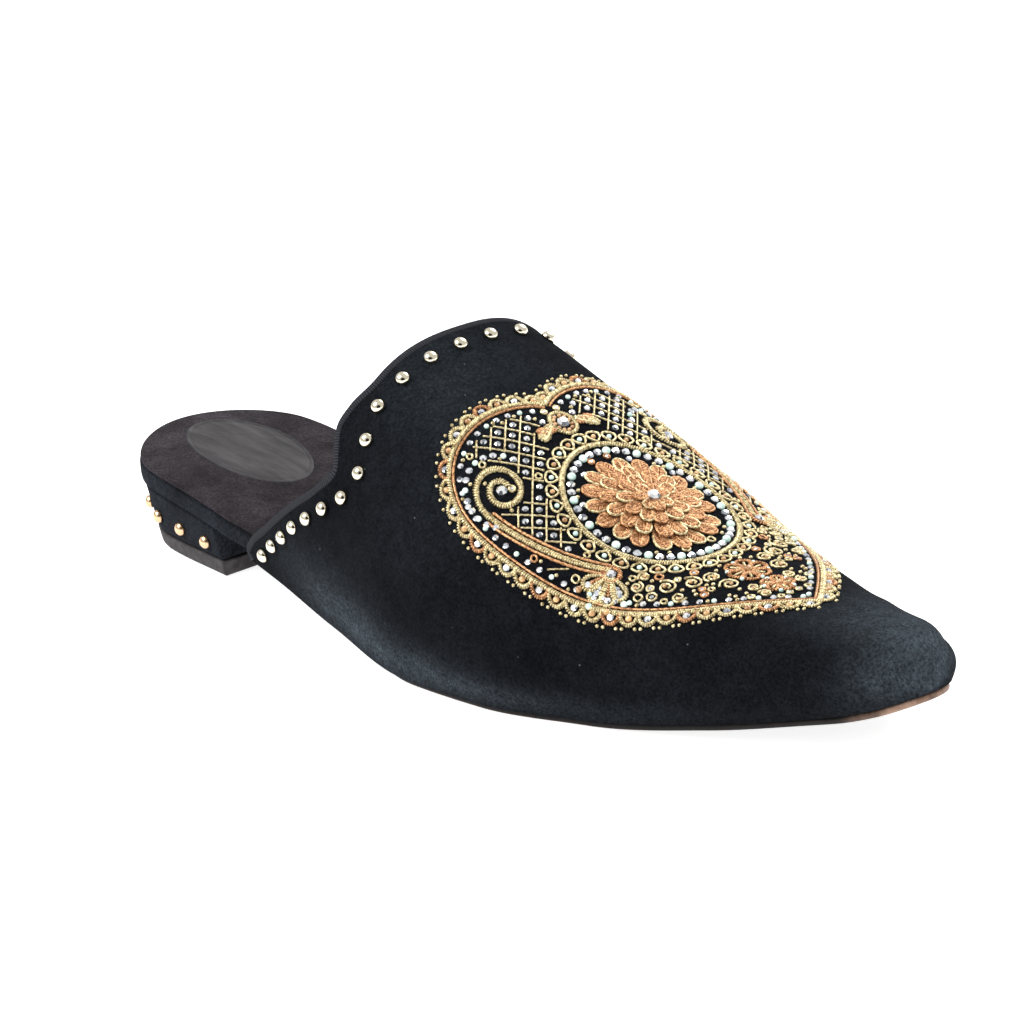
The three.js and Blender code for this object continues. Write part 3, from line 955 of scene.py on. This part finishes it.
def on_vamp(flat):
    """Points and normals of the upper under flat points."""
    s, v = flat.T
    i = np.clip(s - MAP_S[0], 0, len(MAP_S) - 1.001)
    k = np.clip((v - MAP_V[0]) / MAP_STEP, 0, len(MAP_V) - 1.001)
    a, b = i.astype(int), k.astype(int)
    f, g = i - a, k - b
    turn = (VAMP_TURNS[a, b] * (1 - f) + VAMP_TURNS[a + 1, b] * f) * (1 - g)
    turn = turn + (VAMP_TURNS[a, b + 1] * (1 - f) + VAMP_TURNS[a + 1, b + 1] * f) * g
    return upper_point(s, turn), upper_normal(s, turn)


def resampled(path, step):
    path = np.asarray(path, float)
    reach = reach_of(path)
    at = np.linspace(0, reach[-1], max(4, int(round(reach[-1] / step)) + 1))
    return np.stack([np.interp(at, reach, line) for line in path.T], -1)


def tube_faces(count, rings, sides):
    index = np.arange(count * rings * sides).reshape(count, rings, sides)
    turned = np.roll(index, -1, 2)
    quads = np.stack([index[:, :-1], turned[:, :-1], turned[:, 1:], index[:, 1:]], -1).reshape(-1, 4)
    return quads.tolist() + index[:, 0, ::-1].tolist() + index[:, -1].tolist()


TWIST_DEPTH = 0.2
TWIST_PITCH = 1.3
gold = Heap("gold_cord", gold_thread)
gold_satin = Heap("gold_satin_stitch", gold_thread)
copper = Heap("copper_cord", copper_thread)
copper_satin = Heap("copper_satin_stitch", copper_thread)
crystals = Heap("cut_stones", crystal)
mint = Heap("mint_beads", mint_glass)
bronze = Heap("bronze_beads", bronze_glass)
gold_seed = Heap("gold_seed_beads", gold_thread)
covered = []


def threads(heap, paths, radius, lift, arch=0.0, pitch=None, sides=5):
    """Threads along flat paths of equal point count, raised by lift and arched up at their middles."""
    count, rings = paths.shape[:2]
    covered.append(paths.reshape(-1, 2))
    point, normal = (x.reshape(count, rings, 3) for x in on_vamp(paths.reshape(-1, 2)))
    share = np.linspace(0, 1, rings)
    centre = point + normal * (lift + arch * np.sin(math.pi * share))[None, :, None]
    along = unit(np.gradient(centre, axis=1))
    side = unit(np.cross(normal, along))
    over = np.cross(along, side)
    angle = round_angles(sides)
    size = np.full((count, rings, sides), radius)
    if pitch:
        length = np.linalg.norm(centre[0, 1] - centre[0, 0]) * np.arange(rings)
        twist = 2 * angle[None, None] - 2 * math.pi * length[None, :, None] / pitch
        size = size * (1 + TWIST_DEPTH * np.cos(twist))
    ring = centre[:, :, None] + side[:, :, None] * (np.cos(angle) * size)[..., None]
    ring = ring + over[:, :, None] * (np.sin(angle) * size)[..., None]
    heap.add(ring.reshape(-1, 3), tube_faces(count, rings, sides))


def cord(heap, path, radius, lift=None):
    """One twisted cord along a flat path."""
    lift = radius * 0.7 if lift is None else lift
    threads(heap, resampled(path, 0.4)[None], radius, lift, pitch=TWIST_PITCH, sides=6)


def across(path):
    along = unit(np.gradient(path, axis=0))
    return along, np.stack([-along[:, 1], along[:, 0]], -1)


def satin(heap, path, width, radius=0.27, slant=0.35, lift=0.1):
    """A padded bar of close stitches laid across a flat path."""
    path = resampled(path, radius * 2.0)
    along, side = across(path)
    half = width / 2 * rng.uniform(0.8, 1.15, (len(path), 1))
    reach = side * half + along * half * slant
    paths = path[:, None] + reach[:, None] * np.linspace(-1, 1, 5)[None, :, None]
    threads(heap, paths, radius, lift, 0.2 + 0.18 * width)


def polar(centre, radius, degrees):
    a = np.radians(degrees)
    return np.stack([centre[0] + radius * np.cos(a), centre[1] + radius * np.sin(a)], -1)


def bezier(*corners):
    t = np.linspace(0, 1, 40)[:, None]
    a, b, c, d = (np.array(p, float) for p in corners)
    return a * (1 - t) ** 3 + 3 * b * t * (1 - t) ** 2 + 3 * c * t * t * (1 - t) + d * t**3


def aligned(base, degrees, local):
    a = math.radians(degrees)
    x, y = local[..., 0], local[..., 1]
    turned = np.stack([x * math.cos(a) - y * math.sin(a), x * math.sin(a) + y * math.cos(a)], -1)
    return turned + np.array(base, float)


def petal(base, degrees, length, width, count=40):
    """A closed drop shape that starts and ends at its base."""
    t = np.linspace(0, 2 * math.pi, count)
    y = width * 0.65 * np.sin(t) * np.abs(np.sin(t / 2))
    return aligned(base, degrees, np.stack([length * (1 - np.cos(t)) / 2, y], -1))


def leaf(heap, base, degrees, length, width, radius=0.27, lift=0.2):
    """A leaf of slanting stitches on both sides of a midrib."""
    x = np.arange(length * 0.06, length * 0.9, radius * 2.0)
    half = width / 2 * np.sin(math.pi * (0.1 + 0.9 * x / length)) ** 0.7 * rng.uniform(0.88, 1.1, len(x))
    t = np.linspace(0, 1, 4)
    for sign in (-1, 1):
        local = np.stack([x[:, None] + half[:, None] * 0.75 * t, sign * half[:, None] * t], -1)
        threads(heap, aligned(base, degrees, local), radius, lift, 0.3)
    cord(heap, aligned(base, degrees, np.array([[0, 0], [length * 0.96, 0]])), radius * 0.95, lift + 0.25)


FACETS = turned_shape([(0, -0.1), (1, -0.1), (1, 0.22), (0.55, 0.62), (0, 0.62)], 8)
ROUND = turned_shape(dome_profile(1.0, 1.1, 0.4, 5), 10)


def set_on(heap, shape, at, size, lift):
    at = np.array([at], float)
    covered.append(polar(at[0], size * 0.7, np.arange(0, 360, 60)))
    point, normal = on_vamp(at)
    heap.add(*placed(shape, point[0] + normal[0] * lift, normal[0], size, rng.uniform(0, 3)))


def stone(at, size, lift=0.12):
    set_on(crystals, FACETS, at, size, lift)


def bead(heap, at, size, lift=0.0):
    set_on(heap, ROUND, at, size, lift)


def stone_row(points, stone_size, bead_size, shift):
    """A row of stones with a mint bead in every third place."""
    for i, at in enumerate(points):
        if (i + shift) % 3:
            stone(at, stone_size)
        else:
            bead(mint, at, bead_size)


OVAL = 1.08
ROSETTE = np.array([184.5, 0.0])
# Storeys of its petals: count, distance of their feet, length, width and lift.
STOREYS = [
    (18, 7.2, 7.2, 3.7, 0.2),
    (15, 4.6, 6.4, 3.5, 1.1),
    (11, 2.2, 5.4, 3.1, 1.9),
    (7, 0.6, 3.6, 2.5, 2.6),
]
PETAL_SWING = 14
RING_SCALLOPS = 34


def ringed(radius, degrees):
    """Points of the oval round the rosette."""
    p = polar((0, 0), radius, degrees)
    return p * np.array([OVAL, 1]) + ROSETTE


def rosette():
    """Stitched copper petals in four storeys, in a ring of stones, beads and a scalloped cord."""
    for storey, (count, foot, length, width, lift) in enumerate(STOREYS):
        for i in range(count):
            degrees = 360 * (i + 0.5 * storey + rng.uniform(-0.12, 0.12)) / count
            base = ringed(foot, degrees)
            degrees += PETAL_SWING
            leaf(copper_satin, base, degrees, length, width, 0.3, lift)
            edging = petal(base, degrees, length, width * 0.95)
            cord(copper if i % 2 else gold, edging, 0.3, lift + 0.15)
    stone(ROSETTE, 1.5, 3.2)
    stone_row(ringed(16.3, np.arange(0, 360, 8.0)), 1.0, 1.0, 0)
    satin(gold_satin, ringed(18.2, np.linspace(0, 360, 160)), 1.2)
    for i in range(RING_SCALLOPS):
        degrees = 360 * i / RING_SCALLOPS
        cord(gold, petal(ringed(18.9, degrees), degrees, 2.8, 3.3, 24), 0.3)
        bead(mint if i % 2 else bronze, ringed(20.3, degrees), 0.6)


def fan(base, directions, lengths, width):
    """Petals round a foot, outlined in gold, with stones or a copper vein inside."""
    for i, (degrees, length) in enumerate(zip(directions, lengths)):
        foot = polar(base, 1.3, degrees)
        satin(gold_satin, petal(foot, degrees, length, width), 0.85)
        if i % 2:
            for share, size in ((0.45, 0.6), (0.66, 0.8), (0.85, 0.7)):
                stone(polar(foot, length * share, degrees), size)
        else:
            satin(copper_satin, polar(foot, np.linspace(0.25, 0.62, 12) * length, degrees), 0.8)
            stone(polar(foot, length * 0.78, degrees), 0.85)
        bead(mint if i % 2 else bronze, polar(foot, length + 1.2, degrees), 0.8)
    satin(copper_satin, polar(base, 1.9, np.linspace(0, 360, 30)), 1.0)
    stone(base, 1.1, 0.4)


def volute(sign):
    """A scroll out of the side fan towards the collar, with stones round its outer turn."""
    eye = (164.5, 25.0 * sign)
    t = np.linspace(0, 1, 90)
    sweep = polar(eye, 6.8 - 5.0 * t**0.8, sign * (70 + 560 * t))
    lead = bezier((194, 21.5 * sign), (187, 26.5 * sign), (177, 30.5 * sign), tuple(sweep[0]))
    satin(gold_satin, np.concatenate([lead[:-1], sweep]), 1.3)
    for side in (-1.25, 1.25):
        cord(copper, lead + across(lead)[1] * side, 0.36)
    stone(eye, 1.3)
    stone_row(polar(eye, 8.5, np.arange(56, 250, 15.5) * sign), 0.85, 0.7, 1)


def contour(sign):
    """Half of the emblem's outline, from the collar end to the toe end."""
    back = bezier((151.5, 0), (145.5, 8 * sign), (145, 36.5 * sign), (166, 36.5 * sign))
    front = bezier((166, 36.5 * sign), (188, 36.5 * sign), (212, 29 * sign), (234.5, 0))
    return np.concatenate([back[:-1], front])


def edge_room(points):
    """How far flat points lie inside the outline, looking out from the rosette."""
    line = contour(1) - ROSETTE
    angle = np.arctan2(*line.T[::-1])
    order = np.argsort(angle)
    reach = np.hypot(*line.T)
    p = points - ROSETTE
    limit = np.interp(np.arctan2(np.abs(p[:, 1]), p[:, 0]), angle[order], reach[order])
    return limit - np.hypot(*p.T)


def border(sign):
    """A stitched band round the emblem, scallops outside it and a row of stones inside it."""
    line = resampled(contour(sign), 0.5)
    satin(gold_satin, line, 1.2)
    cord(copper, line - across(line)[1] * 1.1 * sign, 0.32)
    run = resampled(line, 4.3)
    t = np.linspace(0, math.pi, 16)[:, None]
    for i, (a, b) in enumerate(zip(run[:-1], run[1:])):
        middle, half = (a + b) / 2, (b - a) / 2
        out = unit(np.array([-half[1], half[0]])) * sign
        arc = middle - half * np.cos(t) + out * 2.5 * np.sin(t)
        satin(copper_satin if i % 4 == 3 else gold_satin, arc, 0.85, 0.25)
        if i % 2:
            stone(middle + out * 1.15, 0.85)
        else:
            bead(bronze, middle + out * 1.15, 0.75)
        for k in (-0.45, 0.45):
            bead(gold_seed, middle + half * k * 1.6 + out * 3.3, 0.42)
    stone_row(resampled(line - across(line)[1] * 2.6 * sign, 3.1)[1:-1], 0.74, 0.62, 2)


def free_room(points):
    """Distance from flat points to the nearest stitch, stone or bead."""
    taken = np.concatenate(covered)
    tree = KDTree(len(taken))
    for i, (s, v) in enumerate(taken):
        tree.insert((s, v, 0), i)
    tree.balance()
    return np.array([tree.find((s, v, 0))[2] for s, v in points])


TRELLIS_PITCH = 4.4
TRELLIS_START = 149


def trellis():
    """A net of thin cords with a stone in each mesh, over both shoulders of the emblem."""
    s = np.arange(TRELLIS_START, 190, 0.35)
    lines = []
    for lean in (-1, 1):
        for shift in np.arange(-9, 21) * TRELLIS_PITCH:
            lines.append(np.stack([s, lean * (s - TRELLIS_START) + shift], -1))
    dense = np.concatenate(lines)
    clear = (free_room(dense) > 0.55) & (edge_room(dense) > 3.5) & (dense[:, 1] > 2)
    knots = []
    for line, allowed in zip(lines, clear.reshape(len(lines), -1)):
        ends = np.flatnonzero(np.diff(np.concatenate([[0], allowed.astype(int), [0]])))
        for first, last in ends.reshape(-1, 2):
            if last - first > 9:
                knots.append(line[first:last])
    half = TRELLIS_PITCH / 2
    meshes = [(i, k) for i in range(18) for k in range(1, 18) if (i + k) % 2]
    middles = np.array(meshes) * half + np.array([TRELLIS_START, 0])
    room = np.minimum(free_room(middles), edge_room(middles) - 3)
    for sign in (-1, 1):
        for path in knots:
            cord(gold, path * np.array([1, sign]), 0.24)
        for (at, v), free in zip(middles, room):
            if free > 1.1:
                stone((at, v * sign), 0.78)


def jewel(centre, size, count):
    """One larger stone in a ring of beads and a stitched ring."""
    stone(centre, size, 0.3)
    for degrees in np.arange(count) * 360 / count:
        bead(bronze, polar(centre, size + 0.55, degrees), 0.5)
    satin(gold_satin, polar(centre, size + 1.5, np.linspace(0, 360, 40)), 0.8, 0.25)


def flower(centre, radius, count, shift):
    for degrees in np.arange(count) * 360 / count + shift:
        foot = polar(centre, radius * 0.22, degrees)
        satin(copper_satin, petal(foot, degrees, radius * 0.8, radius * 0.7), 0.8)
        cord(gold, polar(foot, np.linspace(0, radius * 0.6, 8), degrees), 0.3)
        bead(mint, polar(centre, radius * 0.95, degrees + 180 / count), 0.55)
    bead(bronze, centre, radius * 0.2, 0.3)


def lace_spots():
    """Random places on one half of the emblem with the free room round each."""
    tries = np.stack([rng.uniform(149, 232, 6000), rng.uniform(0.6, 36, 6000)], -1)
    tries = tries[edge_room(tries) > 1.2]
    spots = []
    for (s, v), room in zip(tries, free_room(tries) - 0.3):
        for a, b, taken in spots:
            room = min(room, math.hypot(a - s, b - v) - taken - 0.3)
        room = min(room, v, 2.3)
        if room > 0.45:
            spots.append((s, v, room))
    return spots


def lace():
    """Curls, eyelets and a few seed beads."""
    for i, (s, v, room) in enumerate(lace_spots()):
        turn = rng.uniform(0, 360)
        for sign in (-1, 1):
            at = (s, v * sign)
            if room > 1.3:
                t = np.linspace(0, 1, 40)
                cord(gold, polar(at, room * (1 - 0.75 * t), sign * (turn + 540 * t)), 0.3)
                bead(bronze, polar(at, room * 0.25, turn), 0.5)
            elif room > 0.75:
                cord(copper if i % 4 == 0 else gold, polar(at, room * 0.85, np.linspace(0, 360, 20)), 0.28)
                if i % 3 == 0:
                    stone(at, 0.5)
            elif i % 3 == 0:
                bead(gold_seed, at, min(room, 0.5))


def build_goldwork():
    rosette()
    jewel((157.4, 0.0), 1.5, 11)
    for sign in (-1, 1):
        border(sign)
        leaf(gold_satin, (157.0, 3.2 * sign), 62 * sign, 6.4, 2.6)
        leaf(copper_satin, (158.6, 3.0 * sign), 100 * sign, 5.2, 2.2)
        volute(sign)
        fan((195.0, 22.0 * sign), sign * np.array([112, 84, 56, 28]), (5.6, 6.4, 6.4, 5.6), 3.2)
    flower((213.6, 0.0), 4.6, 6, 30)
    flower((222.6, 0.0), 3.4, 5, 0)
    trellis()
    lace()
    for heap in (gold, gold_satin, copper, copper_satin, crystals, mint, bronze, gold_seed):
        heap.make(smooth=heap is not crystals)


build_goldwork()


# Stage: white floor, soft studio light and the camera at the photograph's angle, in metres.
FLOOR_REACH = 6.0
FLOOR_DROP = 0.0002
LIGHT_TARGET = (0, 0, 0.03)
DARK_SIDE = (0.75, -0.58, 0.32)
floor_material, _, floor_shader = material("floor_white", grey(0.6), 0.9)
value(floor_shader, "Emission Color", (1, 1, 1, 1))
value(floor_shader, "Emission Strength", 0.84)
floor_data = bpy.data.meshes.new("floor")
corners = [(x * FLOOR_REACH, y * FLOOR_REACH, 0) for x, y in ((-1, -1), (1, -1), (1, 1), (-1, 1))]
floor_data.from_pydata(corners, [], [(0, 1, 2, 3)])
floor_data.materials.append(floor_material)
floor = new_object("floor", floor_data)
floor.location.z = -FLOOR_DROP


def studio_world():
    """White surroundings with one dark patch in front, as a dim room leaves in polished metal."""
    world = bpy.data.worlds.new("studio")
    world.use_nodes = True
    tree = world.node_tree
    inputs = {0: coordinates(tree, "Generated"), 1: DARK_SIDE}
    towards = add_node(tree, "VectorMath", inputs, operation="DOT_PRODUCT")["Value"]
    background = tree.nodes["Background"]
    stops = [(0.0, grey(1)), (0.84, grey(1)), (0.91, (0.03, 0.03, 0.035))]
    paint(tree, background, towards, stops, "Color")
    value(background, "Strength", 0.7)
    return world


bpy.context.scene.world = studio_world()
bpy.context.scene.view_settings.view_transform = "Standard"


def area_light(name, place, size, power, mirrored=True):
    data = bpy.data.lights.new(name, "AREA")
    data.size = size
    data.energy = power
    lamp = new_object(name, data)
    lamp.location = place
    lamp.rotation_mode = "QUATERNION"
    lamp.rotation_quaternion = (Vector(LIGHT_TARGET) - Vector(place)).to_track_quat("-Z", "Y")
    lamp.visible_glossy = mirrored


area_light("key", (-0.35, -0.75, 0.95), 0.7, 14)
area_light("fill", (0.9, -0.5, 0.7), 0.8, 8, mirrored=False)
area_light("back", (-0.2, 0.9, 0.8), 0.8, 9)

CAMERA = dict(azimuth=51.85, elevation=19.12, roll=5.24, lens=115.84, distance=0.75079)
CAMERA_AIM = (0.01014, -0.00355, 0.02896)
SENSOR_WIDTH = 36


def build_camera():
    azimuth, elevation, roll = (math.radians(CAMERA[k]) for k in ("azimuth", "elevation", "roll"))
    turn = Matrix.Rotation(azimuth, 4, "Z") @ Matrix.Rotation(math.pi / 2 - elevation, 4, "X")
    turn = turn @ Matrix.Rotation(-roll, 4, "Z")
    data = bpy.data.cameras.new("camera")
    data.lens = CAMERA["lens"]
    data.sensor_width = SENSOR_WIDTH
    camera = new_object("camera", data)
    back = Matrix.Translation((0, 0, CAMERA["distance"]))
    camera.matrix_world = Matrix.Translation(CAMERA_AIM) @ turn @ back
    bpy.context.scene.camera = camera


build_camera()
